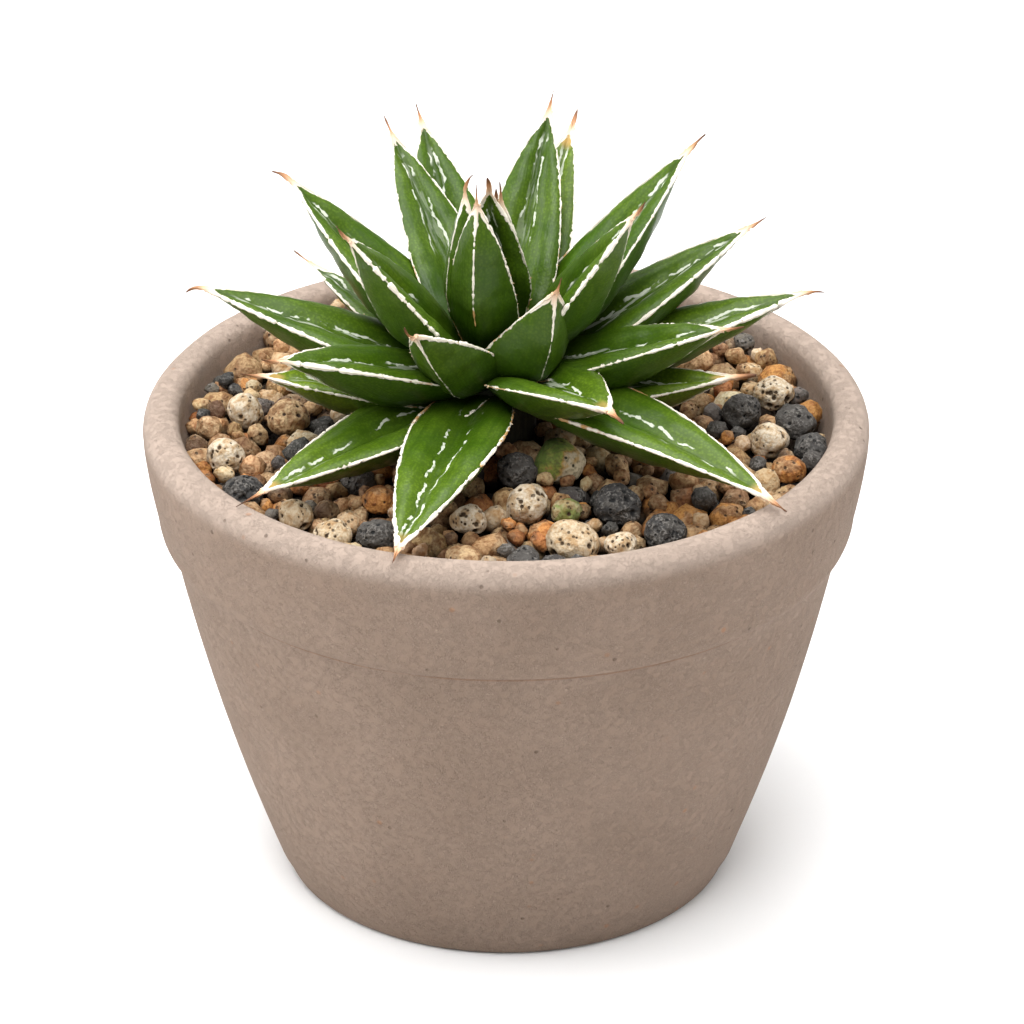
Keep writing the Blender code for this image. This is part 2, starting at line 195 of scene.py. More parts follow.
def displace(obj, texture, strength, verts=""):
    """Pushes the points of a vertex group, or all of them, in and out by the clouds."""
    pushed = obj.modifiers.new(texture.name, "DISPLACE")
    pushed.texture = texture
    pushed.texture_coords = "LOCAL"
    pushed.strength = strength
    pushed.vertex_group = verts


def finish_piece(obj, node, finish=None):
    """The piece stands for its solid, and takes a finish if it doesn't have its own yet."""
    if finish:
        obj.data.materials.clear()
        obj.data.materials.append(finish)
    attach(obj, "root")
    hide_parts(node)


# --- Finishes ---


class Finish:
    """A material, with short ways to wire its nodes."""

    def __init__(self, name):
        self.material = bpy.data.materials.new(name)
        self.material.use_nodes = True
        self.nodes = self.material.node_tree.nodes
        self.links = self.material.node_tree.links
        self.shader = self.nodes["Principled BSDF"]

    def put(self, socket, value):
        if isinstance(value, bpy.types.NodeSocket):
            self.links.new(value, socket)
        elif value is not None:
            socket.default_value = value

    def node(self, kind, inputs, output=0, **settings):
        made = self.nodes.new("ShaderNode" + kind)
        for key, value in settings.items():
            setattr(made, key, value)
        for key, value in inputs.items():
            self.put(made.inputs[key], value)
        return made.outputs[output]

    def reckon(self, operation, *values):
        return self.node("Math", dict(enumerate(values)), operation=operation)

    def times(self, *values):
        return self.reckon("MULTIPLY", *values)

    def plus(self, *values):
        return self.reckon("ADD", *values)

    def minus(self, *values):
        return self.reckon("SUBTRACT", *values)

    def scaled(self, value, scale, shift):
        return self.reckon("MULTIPLY_ADD", value, scale, shift)

    def most(self, *values):
        return self.reckon("MAXIMUM", *values)

    def size(self, value):
        return self.reckon("ABSOLUTE", value)

    def mix(self, share, one, other, blend="MIX"):
        inputs = {0: share, 6: one, 7: other}
        return self.node("Mix", inputs, 2, data_type="RGBA", blend_type=blend)

    def ease(self, value, low, high, start=0.0, end=1.0):
        """From start at low to end at high, smoothly."""
        inputs = {"Value": value, 1: low, 2: high, 3: start, 4: end}
        return self.node("MapRange", inputs, interpolation_type="SMOOTHSTEP")

    def slide(self, value, low, high):
        """0 at low to 1 at high, evenly."""
        return self.node("MapRange", {"Value": value, 1: low, 2: high})

    def line(self, value, middle, wide, narrow):
        """1 where a value is within narrow of the middle, down to 0 at wide."""
        return self.ease(self.size(self.minus(value, middle)), wide, narrow)

    def noise(self, where, scale, detail=2.0, distortion=0.0):
        inputs = {"Vector": where, "Scale": scale, "Detail": detail, "Distortion": distortion}
        return self.node("TexNoise", inputs)

    def cells(self, where, scale):
        return self.node("TexVoronoi", {"Vector": where, "Scale": scale})

    def ramp(self, value, *stops):
        """Colours at places from 0 to 1."""
        made = self.nodes.new("ShaderNodeValToRGB")
        elements = made.color_ramp.elements
        while len(elements) < len(stops):
            elements.new(0.5)
        for element, (place, colour) in zip(elements, stops):
            element.position = place
            element.color = (*colour, 1.0)
        self.links.new(value, made.inputs[0])
        return made.outputs[0]

    def places(self):
        return self.node("TexCoord", {}, "Object")

    def attribute(self, name, output="Vector"):
        return self.node("Attribute", {}, output, attribute_name=name)

    def split(self, vector):
        return self.node("SeparateXYZ", {0: vector}, slice(3))

    def bump(self, height, strength, distance):
        inputs = {"Height": height, "Strength": strength, "Distance": distance}
        return self.node("Bump", inputs)

    def close(self, colour, roughness, normal=None, **others):
        others.update(Base_Color=colour, Roughness=roughness, Normal=normal)
        for name, value in others.items():
            self.put(self.shader.inputs[name.replace("_", " ")], value)
        return self.material


def rgb(red, green, blue):
    return (red, green, blue, 1.0)


# Heights on the pot: the seam under its collar, and from where to where its rim turns pale, partly
# dustier clay and partly a painted highlight on its top.
SEAM_HEIGHT = 72.2 * MM
PALE_AND_LIT_RIM = (92.0 * MM, 95.5 * MM)


def clay_finish():
    """Fired clay, full of short pale fibres that lie in swirls, with pits and rusty specks."""
    f = Finish("fibre clay")
    at = f.places()
    cloud = f.noise(at, 45.0, 3.0)
    patch = f.noise(at, 150.0, 2.0)
    grain = f.noise(at, 2600.0, 2.0)
    fibre = f.line(f.noise(at, 1150.0, 1.0, 1.4), 0.5, 0.05, 0.008)
    strand = f.line(f.noise(at, 850.0, 1.0, 2.0), 0.46, 0.035, 0.006)
    fibre = f.times(f.most(fibre, strand), f.ease(f.noise(at, 620.0, 1.0), 0.38, 0.56))
    crease = f.line(f.noise(at, 980.0, 1.0, 1.6), 0.43, 0.03, 0.006)
    crease = f.times(crease, f.ease(f.noise(at, 530.0, 1.0), 0.42, 0.6))
    pit = f.ease(f.cells(at, 210.0), 0.1, 0.05)
    pit = f.times(pit, f.ease(f.noise(at, 60.0, 0.0), 0.5, 0.56))
    rust = f.ease(f.cells(at, 150.0), 0.12, 0.04)
    rust = f.times(rust, f.ease(f.noise(at, 50.0, 0.0), 0.48, 0.56))
    height = f.split(at)[2]

    colour = f.mix(f.ease(cloud, 0.25, 0.75), rgb(0.224, 0.16, 0.12), rgb(0.258, 0.187, 0.143))
    colour = f.mix(f.ease(patch, 0.45, 0.75, 0.0, 0.14), colour, rgb(0.25, 0.166, 0.122))
    colour = f.mix(f.ease(grain, 0.3, 0.7, 0.0, 0.17), colour, rgb(0.16, 0.115, 0.085))
    colour = f.mix(f.times(fibre, 0.2), colour, rgb(0.46, 0.37, 0.295))
    colour = f.mix(f.times(crease, 0.15), colour, rgb(0.13, 0.092, 0.068))
    # The rim is paler, partly dustier clay and partly a painted highlight on its upward face, and
    # smoother to look at.
    colour = f.mix(f.ease(height, *PALE_AND_LIT_RIM, 0.0, 0.7), colour, rgb(0.37, 0.297, 0.248))
    colour = f.mix(f.times(rust, 0.45), colour, rgb(0.32, 0.14, 0.06))
    colour = f.mix(f.times(pit, 0.6), colour, rgb(0.1, 0.065, 0.045))
    # The seam under the collar.
    seam = f.line(height, SEAM_HEIGHT, 0.00032, 0.00004)
    seam = f.times(seam, f.ease(f.noise(at, 40.0, 1.0), 0.26, 0.46))
    colour = f.mix(f.times(seam, 0.6), colour, rgb(0.2, 0.105, 0.06))
    raised = f.plus(fibre, f.times(grain, 0.7))
    sunken = f.plus(crease, f.scaled(pit, 2.0, f.times(seam, 0.7)))
    relief = f.minus(raised, sunken)
    return f.close(colour, 0.9, f.bump(relief, 0.7, 0.00018), Specular_IOR_Level=0.22)


def soil_finish():
    f = Finish("potting soil")
    at = f.places()
    crumbs = f.cells(at, 500.0)
    colour = f.ramp(crumbs, (0.0, (0.05, 0.034, 0.024)), (0.7, (0.02, 0.013, 0.009)))
    height = f.plus(crumbs, f.noise(at, 1500.0, 3.0))
    return f.close(colour, 0.95, f.bump(height, 0.8, 0.0008))


def stem_finish():
    f = Finish("fibrous stem in painted shade")
    places = f.places()
    at = f.node("Mapping", {"Vector": places, "Scale": (1.0, 1.0, 0.08)})
    fibre = f.noise(at, 1400.0, 3.0, 0.4)
    # Dark brown fibres, painted near-black as shade under the leaves.
    colour = f.ramp(fibre, (0.3, (0.012, 0.012, 0.006)), (0.7, (0.04, 0.038, 0.018)))
    young = f.ease(f.split(places)[2], 0.103, 0.108)
    colour = f.mix(young, colour, rgb(0.045, 0.1, 0.012))
    return f.close(colour, 0.75, f.bump(fibre, 0.6, 0.0004))


def horn_ramp(f, from_tip):
    """Cream behind the tip, peach at it, then orange to dark brown along the spine."""
    return f.ramp(
        f.slide(from_tip, -4.0, 6.0),
        (0.0, (0.085, 0.038, 0.02)),
        (0.14, (0.19, 0.08, 0.035)),
        (0.28, (0.42, 0.21, 0.1)),
        (0.4, (0.62, 0.4, 0.25)),
        (0.52, (0.75, 0.59, 0.45)),
        (0.72, (0.77, 0.71, 0.61)),
    )


def leaf_finish():
    f = Finish("agave leaf")
    at = f.places()
    along, across, upper = f.split(f.attribute("blade"))
    edge, keel, from_tip = f.split(f.attribute("rims"))
    seed, start, end = f.split(f.attribute("mark"))
    silver, yellow, pale = f.split(f.attribute("habit"))

    def streaky(run, side, offset=0.0, detail=2.0):
        """Noise drawn out along the leaf: so many changes a mm along and across it."""
        spot = (f.times(from_tip, run), f.times(across, side), f.scaled(seed, 7.3, offset))
        return f.noise(f.node("CombineXYZ", dict(enumerate(spot))), 1.0, detail)

    # The flesh: deep green, greyer with bloom, with painted shade on the underside, in the channel
    # and toward the root.
    cloud = f.ease(f.noise(at, 75.0, 3.0), 0.3, 0.7)
    flesh = f.mix(cloud, rgb(0.036, 0.086, 0.002), rgb(0.082, 0.146, 0.008))
    flesh = f.mix(f.ease(streaky(0.08, 0.9), 0.4, 0.7, 0.0, 0.5), flesh, rgb(0.02, 0.054, 0.001))
    # Painted shade: the underside is darker than the upper face.
    flesh = f.mix(f.times(f.ease(upper, 1.0, 0.0), 0.5), flesh, rgb(0.02, 0.052, 0.002))
    bloom = f.times(f.ease(f.noise(at, 160.0, 3.0), 0.42, 0.72), 0.12)
    flesh = f.mix(f.times(bloom, pale), flesh, rgb(0.15, 0.215, 0.07))
    channel = f.size(across)
    # Painted shade in the channel down the upper face.
    groove_shade = f.times(f.ease(channel, 0.8, 0.1, 0.0, 0.7), upper)
    groove_shade = f.times(groove_shade, f.ease(along, 0.25, 0.8))
    flesh = f.mix(groove_shade, flesh, rgb(0.015, 0.04, 0.005))
    ripe = f.times(f.ease(along, 0.35, 0.95), yellow)
    flesh = f.mix(ripe, flesh, rgb(0.17, 0.25, 0.015))
    # Painted shade toward the root, where the leaves lie over each other.
    flesh = f.mix(f.ease(along, 0.5, 0.05, 0.0, 0.75), flesh, rgb(0.013, 0.034, 0.001))
    cell = f.cells(at, 1700.0)
    flesh = f.mix(f.ease(cell, 0.25, 0.6, 0.0, 0.42), flesh, rgb(0.018, 0.045, 0.002))

    # Silver lines that the bud pressed into the upper face.
    wander = f.times(f.minus(streaky(0.16, 0.1, 3.1), 0.5), 3.0)
    side = f.size(f.plus(across, wander))
    spread = f.ease(along, 1.0, 0.2, 0.35, 2.1)
    width = f.scaled(streaky(0.9, 0.5, 5.7), 0.8, -0.22)
    line = f.ease(f.minus(f.size(f.minus(side, spread)), width), 0.06, -0.02)
    line = f.times(line, f.ease(streaky(0.28, 0.35, 9.4), 0.47, 0.53))
    band = f.times(f.ease(f.minus(side, spread), 0.15, -0.1), silver)
    band = f.times(band, f.ease(streaky(0.16, 1.6, 1.9), 0.5, 0.56, 0.0, 0.6))
    marks = f.most(line, band)
    marks = f.times(marks, f.ease(f.minus(along, start), -0.03, 0.03))
    marks = f.times(marks, f.ease(f.minus(along, end), 0.03, -0.03))
    marks = f.times(marks, f.ease(upper, 0.5, 0.95))
    flesh = f.mix(f.times(marks, 0.9), flesh, rgb(0.6, 0.63, 0.53))

    # A tan spot inside the tip, then the horn that spills over the edges, the keel and the tip.
    spot = f.times(f.ease(from_tip, 5.6, 3.2), f.ease(from_tip, 1.2, 2.2))
    spot = f.times(spot, f.ease(channel, 1.5, 0.6))
    spot = f.times(spot, f.ease(yellow, 0.2, 0.4, 0.0, 0.8))
    flesh = f.mix(f.times(spot, upper), flesh, rgb(0.5, 0.31, 0.1))
    ragged = f.scaled(streaky(0.9, 0.9, 2.2), 1.3, -0.52)
    ragged = f.plus(ragged, f.ease(from_tip, 9.0, 1.0, 0.0, 0.6))
    rim = f.ease(f.minus(edge, ragged), 0.14, -0.04)
    ridge = f.minus(keel, f.scaled(ragged, 0.8, -0.12))
    ridge = f.times(f.ease(ridge, 0.12, -0.04), f.ease(upper, 0.9, 0.5))
    ridge = f.times(ridge, f.ease(along, 0.3, 0.6))
    cap = f.ease(f.scaled(streaky(0.5, 1.1, 4.4), -3.4, from_tip), 0.35, -0.35)
    horn = f.most(f.most(rim, ridge), cap)
    colour = f.mix(horn, flesh, horn_ramp(f, from_tip))

    height = f.scaled(cell, -0.7, f.times(streaky(0.05, 2.6, 0.0, 3.0), 1.4))
    raised = f.most(horn, marks)
    height = f.plus(height, f.times(raised, 1.2))
    rough = f.scaled(raised, 0.25, f.scaled(bloom, 0.5, 0.34))
    normal = f.bump(height, 0.35, 0.00012)
    return f.close(colour, rough, normal, Specular_IOR_Level=0.22)


def horn_finish():
    """The raised white edge: cream, spotted tan and brown toward the root, peach at the tip."""
    f = Finish("white horn edge")
    at = f.places()
    along = f.split(f.attribute("blade"))[0]
    from_tip = f.split(f.attribute("rims"))[2]
    aged = f.plus(f.ease(along, 0.75, 0.15, -0.14, 0.2), f.noise(at, 330.0, 2.0))
    colour = f.mix(f.ease(aged, 0.58, 0.68), horn_ramp(f, from_tip), rgb(0.52, 0.3, 0.12))
    brown = f.plus(f.ease(along, 0.5, 0.05, -0.12, 0.14), f.noise(at, 520.0, 1.0))
    colour = f.mix(f.ease(brown, 0.64, 0.7), colour, rgb(0.22, 0.1, 0.04))
    normal = f.bump(f.noise(at, 1900.0, 3.0), 0.4, 0.00015)
    return f.close(colour, 0.55, normal, Specular_IOR_Level=0.35)


def tooth_finish():
    f = Finish("edge tooth")
    fleck = f.noise(f.places(), 900.0, 1.0)
    colour = f.ramp(fleck, (0.35, (0.4, 0.19, 0.07)), (0.6, (0.74, 0.58, 0.38)))
    return f.close(colour, 0.5)


def stone_finish(name, other, stain, pit_shade, pits, roughness, relief, dust=None):
    """Worn stone: each one's own tint, patched with another and stained, with small holes; its
    pits, pressed hollows and depth in the gravel get painted shade.
    """
    f = Finish(name)
    at = f.places()
    tint = f.attribute("tint", "Color")
    hollow = f.attribute("hollow", "Fac")
    sunk = f.attribute("sunk", "Fac")
    patch = f.noise(at, 260.0, 3.0)
    mottle = f.noise(at, 520.0, 3.0)
    grain = f.noise(at, 1900.0, 3.0)
    colour = f.mix(f.ease(patch, 0.5, 0.58, 0.0, 0.6), tint, other)
    colour = f.mix(f.ease(mottle, 0.42, 0.66, 0.0, 0.85), colour, stain, "MULTIPLY")
    colour = f.mix(f.ease(grain, 0.4, 0.7, 0.0, 0.7), colour, stain, "MULTIPLY")
    if dust:
        powder = f.times(f.ease(grain, 0.46, 0.6), f.ease(mottle, 0.36, 0.6))
        colour = f.mix(f.times(powder, 0.6), colour, dust)
    holes = f.ease(f.cells(at, 780.0), 0.3, 0.16)
    holes = f.times(holes, f.ease(f.noise(at, 260.0, 1.0), 0.6 - pits, 0.66 - pits))
    # Painted shade: the pits and the hollows pressed into the stone are painted dark.
    depth = f.most(f.times(holes, 0.85), f.ease(hollow, 0.2, 0.7))
    colour = f.mix(depth, colour, pit_shade)
    # Painted shade: the deeper a point lies below the top of the gravel, the nearer black it is
    # painted.
    colour = f.mix(f.ease(sunk, 0.9, 3.7, 0.0, 0.96), colour, rgb(0.012, 0.008, 0.005))
    height = f.scaled(f.cells(at, 520.0), 1.4, f.plus(grain, mottle))
    height = f.minus(height, f.times(holes, 1.6))
    normal = f.bump(height, relief, 0.00042)
    return f.close(colour, roughness, normal, Specular_IOR_Level=0.3)


def moss_finish(middle, size):
    """The mossy stone: green at one side and above, then ochre, cream at the other; painted shade
    in its hollows.
    """
    f = Finish("mossy stone")
    at = f.places()
    hollow = f.attribute("hollow", "Fac")
    side, _, rise = f.split(f.node("Mapping", {"Vector": at, "Location": -middle}))
    drift = f.scaled(f.noise(at, 330.0, 3.0), 1.3, -0.65)
    place = f.reckon("DIVIDE", f.minus(side, f.times(rise, 0.9)), size)
    place = f.plus(f.plus(place, 0.62), drift)
    grain = f.noise(at, 1500.0, 3.0)
    colour = f.ramp(
        place,
        (0.2, (0.12, 0.18, 0.03)),
        (0.42, (0.27, 0.31, 0.06)),
        (0.55, (0.45, 0.27, 0.08)),
        (0.68, (0.56, 0.47, 0.31)),
    )
    colour = f.mix(f.ease(grain, 0.45, 0.7, 0.0, 0.6), colour, rgb(0.09, 0.075, 0.03))
    # Painted shade in the hollows pressed into the stone.
    colour = f.mix(f.ease(hollow, 0.2, 0.75), colour, rgb(0.04, 0.035, 0.015))
    return f.close(colour, 0.85, f.bump(grain, 0.7, 0.0004))


CLAY = clay_finish()
LEAF = leaf_finish()
HORN = horn_finish()
TOOTH = tooth_finish()
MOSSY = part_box("mossy_stone")
MOSS = moss_finish((MOSSY[0] + MOSSY[1]) / 2, MOSSY[1].x - MOSSY[0].x)
STONE = {
    "cream": stone_finish(
        "cream pumice", rgb(0.5, 0.4, 0.27), rgb(0.7, 0.55, 0.38), rgb(0.06, 0.038, 0.02),
        0.12, 0.92, 0.7,
    ),
    "dark": stone_finish(
        "dark lava", rgb(0.088, 0.08, 0.07), rgb(0.52, 0.5, 0.48), rgb(0.008, 0.008, 0.008),
        0.12, 0.74, 1.0, rgb(0.22, 0.205, 0.188),
    ),
    "tan": stone_finish(
        "fired clay pebble", rgb(0.4, 0.29, 0.17), rgb(0.46, 0.3, 0.18), rgb(0.04, 0.02, 0.01),
        0.07, 0.66, 0.9,
    ),
}
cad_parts["soil"].material_slots[0].material = soil_finish()
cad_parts["stem"].material_slots[0].material = stem_finish()


# --- The pot ---

# Its section in mm. The height and the widest radius come from the solid.
FOOT_RADIUS = 43.9
FOOT_ROUNDING = 1.6
BODY_TOP_RADIUS = 65.0
BODY_TOP = 72.6
BODY_BULGE = 1.65
LIP_REACH = 2.6
LIP_HEIGHT = 4.9
WIDEST_AT = 93.3
CREST_RADIUS = 66.3
INNER_ROUNDING = 2.4
WALL_TOP_RADIUS = 62.5
WALL_TOP = 91.0
WALL_INSET = 27.5
WALL_DROP = 76.0
FLOOR_EDGE = (31.2, 11.0)
FLOOR_CORNER = 5.4
FLOOR_HEIGHT = 7.0
DRAIN_RADIUS = 6.0
DRAIN_CHAMFER = 0.7


def arc(centre, radii, start, end, count):
    """Points on a quarter of an ellipse, from start to end degrees."""
    (x, y), (wide, high) = centre, radii
    turns = [math.radians(start + (end - start) * i / count) for i in range(count + 1)]
    return [(x + wide * math.cos(turn), y + high * math.sin(turn)) for turn in turns]


def pot_outline():
    """Half the pot's section in mm, from the drain hole's edge round the outside and back."""
    widest, top = POT_RADIUS / MM, POT_HEIGHT / MM
    collar_foot, collar_radius = BODY_TOP + LIP_HEIGHT, BODY_TOP_RADIUS + LIP_REACH
    points = [(6.6, 0.0), (16.0, 0.0), (28.0, 0.0), (38.0, 0.0)]
    rounding = (FOOT_ROUNDING, FOOT_ROUNDING)
    points += arc((FOOT_RADIUS - FOOT_ROUNDING, FOOT_ROUNDING), rounding, -90, 0, 5)
    for i in range(1, 15):
        share = i / 15
        radius = FOOT_RADIUS + (BODY_TOP_RADIUS - FOOT_RADIUS) * share
        points.append((radius + BODY_BULGE * 4 * share * (1 - share), BODY_TOP * share))
    points += arc((BODY_TOP_RADIUS, collar_foot), (LIP_REACH, LIP_HEIGHT), -90, 0, 8)
    for i in range(1, 7):
        share = i / 7
        radius = collar_radius + (widest - collar_radius) * (1 - (1 - share) ** 1.5)
        points.append((radius, collar_foot + (WIDEST_AT - collar_foot) * share))
    points += arc((CREST_RADIUS, WIDEST_AT), (widest - CREST_RADIUS, top - WIDEST_AT), 0, 90, 9)
    rounding = (INNER_ROUNDING, INNER_ROUNDING)
    points += arc((CREST_RADIUS - 1.0, top - INNER_ROUNDING), rounding, 90, 180, 6)
    for i in range(12):
        points.append((WALL_TOP_RADIUS - WALL_INSET * i / 12, WALL_TOP - WALL_DROP * i / 12))
    points += arc(FLOOR_EDGE, (FLOOR_CORNER, FLOOR_EDGE[1] - FLOOR_HEIGHT), 0, -90, 4)
    points += [(20.0, FLOOR_HEIGHT), (DRAIN_RADIUS + 0.8, FLOOR_HEIGHT)]
    points += [(DRAIN_RADIUS, FLOOR_HEIGHT - DRAIN_CHAMFER), (DRAIN_RADIUS, DRAIN_CHAMFER)]
    return points


def make_pot():
    points = [(radius * MM, 0.0, height * MM) for radius, height in pot_outline()]
    pot = outline("fired_pot", points + points[:1])
    edit(pot)
    bpy.ops.mesh.remove_doubles(threshold=0.02 * MM)
    bpy.ops.mesh.spin(steps=160, angle=math.tau, center=(0, 0, 0), axis=(0, 0, 1))
    bpy.ops.mesh.select_all(action="SELECT")
    bpy.ops.mesh.remove_doubles(threshold=0.02 * MM)
    bpy.ops.mesh.normals_make_consistent(inside=False)
    done()
    # The foot stays flat: the clay wavers from just above it.
    group(pot, "wall", [vert.index for vert in pot.data.vertices if vert.co.z > 3 * MM])
    displace(pot, unevenness("hand of the potter", 26 * MM), 0.35 * MM, "wall")
    apply_all(pot)
    bpy.ops.object.shade_smooth()
    finish_piece(pot, "pot", CLAY)


# --- Leaves ---

# One straight leaf is modelled at this size, and every leaf is a copy of it, sized and bent.
MODEL_LENGTH = 50.0 * MM
MODEL_WIDTH = 18.0 * MM
MODEL_SPINE = 4.0 * MM
# Where the leaf is widest, and how wide its root is beside that.
FULLEST = 0.32
ROOT_WIDTH = 0.56
LEAST_HALF_WIDTH = 0.65 * MM
# The spine's half width in mm, at shares of its length.
SPINE_TAPER = ((0.12, 0.46), (0.28, 0.36), (0.48, 0.26), (0.7, 0.17), (0.88, 0.11), (1, 0.04))
# The upper face from the left edge to the channel, then the underside from the left edge to the
# keel: shares of the half width and of the keel's depth.
UPPER_FACE = (
    (1.0, 0.0), (0.96, 0.04), (0.88, 0.08), (0.76, 0.11), (0.62, 0.115), (0.48, 0.085),
    (0.35, 0.02), (0.24, -0.06), (0.15, -0.13), (0.07, -0.19), (0.0, -0.21),
)
UNDERSIDE = (
    (0.985, -0.06), (0.94, -0.17), (0.85, -0.32), (0.73, -0.48), (0.59, -0.63),
    (0.44, -0.76), (0.29, -0.87), (0.15, -0.95), (0.05, -0.99), (0.0, -1.0),
)

# Angles in degrees, lengths in mm: azimuth, lift where the leaf leaves the stem, how much the lift
# changes along it, length, width, height where it starts, how far its spine hooks up, roll.
LEAVES = {
    "furled_leaf": (75, 93, 0, 26, 6, 112.5, 0, 0),
    "bud_leaf_back": (80, 102, 3, 34, 14, 112, 30, 0),
    "bud_leaf_front": (254, 77, 4, 35, 13.6, 111, 10, 0),
    "bud_leaf_left": (215, 84, 4, 33.5, 12.2, 111, 60, 0),
    "bud_leaf_right": (70, 87, 4, 28.5, 11, 111, 20, 0),
    "inner_leaf_front": (306, 49, 12, 28.5, 17.5, 106.5, 10, -12),
    "inner_leaf_left": (212, 52, -6, 42.5, 18.5, 109, 15, -20),
    "inner_leaf_right": (335, 57, -6, 43, 17.5, 109, 10, 20),
    "inner_leaf_back_left": (118, 40, -4, 48.5, 15, 109, 0, 0),
    "inner_leaf_back_right": (72, 51.5, -4, 48, 16.5, 109, 0, 0),
    "short_leaf_left": (238, 47, -16, 31.5, 16.5, 104.5, 35, 20),
    "short_leaf_right": (304, 25, -30, 36.5, 19.5, 106.5, -10, 0),
    "middle_leaf_back": (108, 41, -6, 53, 17, 106, 0, 0),
    "middle_leaf_back_right": (70, 40, -4, 52, 16, 106, 0, 0),
    "middle_leaf_back_left": (156, 41.5, -4, 50, 18.5, 106, -45, 0),
    "middle_leaf_right_back": (24, 48, -4, 53.5, 18.5, 106, -15, 0),
    "middle_leaf_right": (343, 25, -10, 44.5, 20, 105.5, 0, 0),
    "middle_leaf_left": (210, 25, -14, 44.5, 19, 105, 15, 0),
    "outer_leaf_left": (174, 22, -8, 54.5, 19, 103.5, -70, 0),
    "outer_leaf_right_back": (18, 29.5, -4, 54, 19, 103.5, 0, 0),
    "outer_leaf_right": (7, 18.5, -6, 58.5, 19, 103, -35, 0),
    "outer_leaf_front_right": (320.5, 9.5, -28, 64, 18.5, 104.5, 0, 0),
    "outer_leaf_front": (254.5, 5, -18, 61, 18, 103.5, 0, 0),
    "outer_leaf_front_left": (221.5, -1, -8, 54, 18, 103.5, 0, 0),
    "lower_leaf_right": (352, 8.5, 0, 43, 18, 101, 0, 0),
    "lower_leaf_left": (190, 10, 0, 41.5, 17, 101, 0, 0),
    "lower_leaf_back_left": (138, 15.5, 0, 46.5, 10.5, 101, 0, 0),
    "lower_leaf_back": (95, 13, -4, 46, 17, 102, 0, 0),
    "lower_leaf_back_right": (47, 10, -4, 40, 17, 101.5, 0, 0),
}
COMMON_SPINE = 4.0
SPINES = {"outer_leaf_front_left": 6.0}
# The horn, for each leaf: the radius in mm of its right edge, left edge and keel toward the tip,
# the share of the leaf from where on each is bold, and how broken they are.
COMMON_EDGES = (0.2, 0.2, 0.17, 0.45, 0.45, 0.6, 0.7)
EDGES = {
    "bud_leaf_front": (0.14, 0.2, 0.22, 0.5, 0.4, 0.35, 0.6),
    "bud_leaf_left": (0.16, 0.14, 0.14, 0.4, 0.5, 0.6, 0.4),
    "inner_leaf_front": (0.28, 0.26, 0.28, 0.7, 0.8, 0.72, 0.9),
    "inner_leaf_left": (0.17, 0.42, 0.16, 0.75, 0.1, 0.75, 1.0),
    "inner_leaf_right": (0.42, 0.18, 0.16, 0.1, 0.75, 0.75, 1.0),
    "short_leaf_left": (0.24, 0.38, 0.3, 0.85, 0.45, 0.78, 0.8),
    "short_leaf_right": (0.32, 0.28, 0.26, 0.45, 0.7, 0.85, 0.5),
    "middle_leaf_back_left": (0.2, 0.32, 0.24, 0.4, 0.2, 0.6, 0.3),
    "middle_leaf_right_back": (0.24, 0.34, 0.24, 0.5, 0.1, 0.5, 0.4),
    "middle_leaf_left": (0.28, 0.42, 0.26, 0.6, 0.4, 0.8, 0.4),
    "middle_leaf_right": (0.34, 0.28, 0.26, 0.55, 0.5, 0.8, 0.4),
    "outer_leaf_left": (0.22, 0.4, 0.24, 0.7, 0.2, 0.8, 0.3),
    "outer_leaf_right": (0.38, 0.24, 0.24, 0.3, 0.6, 0.8, 0.3),
    "outer_leaf_right_back": (0.34, 0.24, 0.24, 0.3, 0.5, 0.8, 0.3),
    "outer_leaf_front": (0.36, 0.36, 0.24, 0.1, 0.2, 0.8, 0.5),
    "outer_leaf_front_left": (0.26, 0.3, 0.24, 0.2, 0.3, 0.8, 0.4),
    "outer_leaf_front_right": (0.32, 0.28, 0.24, 0.1, 0.1, 0.8, 0.3),
}
# Where the silver lines start and end along the leaf, how strong the silver between them is, how
# yellow the tip and how strong the bloom.
PLAIN = (0.45, 0.88, 0.3, 0.12, 0.8)
MARKS = {
    "outer_leaf_front": (0.2, 0.92, 0.0, 0.3, 0.3),
    "outer_leaf_front_left": (0.15, 0.88, 0.0, 0.35, 0.3),
    "outer_leaf_front_right": (0.2, 0.85, 0.0, 0.35, 0.4),
    "outer_leaf_left": (0.3, 0.88, 0.9, 0.12, 0.6),
    "outer_leaf_right": (0.3, 0.85, 0.9, 0.2, 0.8),
    "outer_leaf_right_back": (0.25, 0.9, 1.0, 0.12, 0.9),
    "middle_leaf_left": (0.25, 0.82, 0.6, 0.15, 0.7),
    "middle_leaf_right": (0.25, 0.85, 0.8, 0.12, 0.7),
    "middle_leaf_back_right": (0.4, 0.9, 1.0, 0.4, 0.6),
    "short_leaf_right": (0.3, 0.85, 0.8, 0.3, 0.8),
    "lower_leaf_right": (0.2, 0.85, 0.6, 0.7, 0.3),
    "lower_leaf_left": (0.3, 0.85, 0.5, 0.8, 0.3),
}


def half_width(share):
    """Fullest a third of the way out, then drawn in to the tip."""
    if share < FULLEST:
        swell = math.sin(math.pi / 2 * share / FULLEST)
        return MODEL_WIDTH / 2 * (ROOT_WIDTH + (1 - ROOT_WIDTH) * swell)
    run = min((share - FULLEST) / (1 - FULLEST), 1.0)
    return max(MODEL_WIDTH / 2 * (1 - run**1.6) ** 0.92, LEAST_HALF_WIDTH)


def keel_depth(share):
    """Shallow at the root, then almost as deep as half the width, flatter at the tip."""
    depth = 0.5 + 0.45 * min(share / 0.42, 1.0)
    if share > 0.75:
        depth *= 1 - 0.3 * (share - 0.75) / 0.25
    return half_width(share) * depth


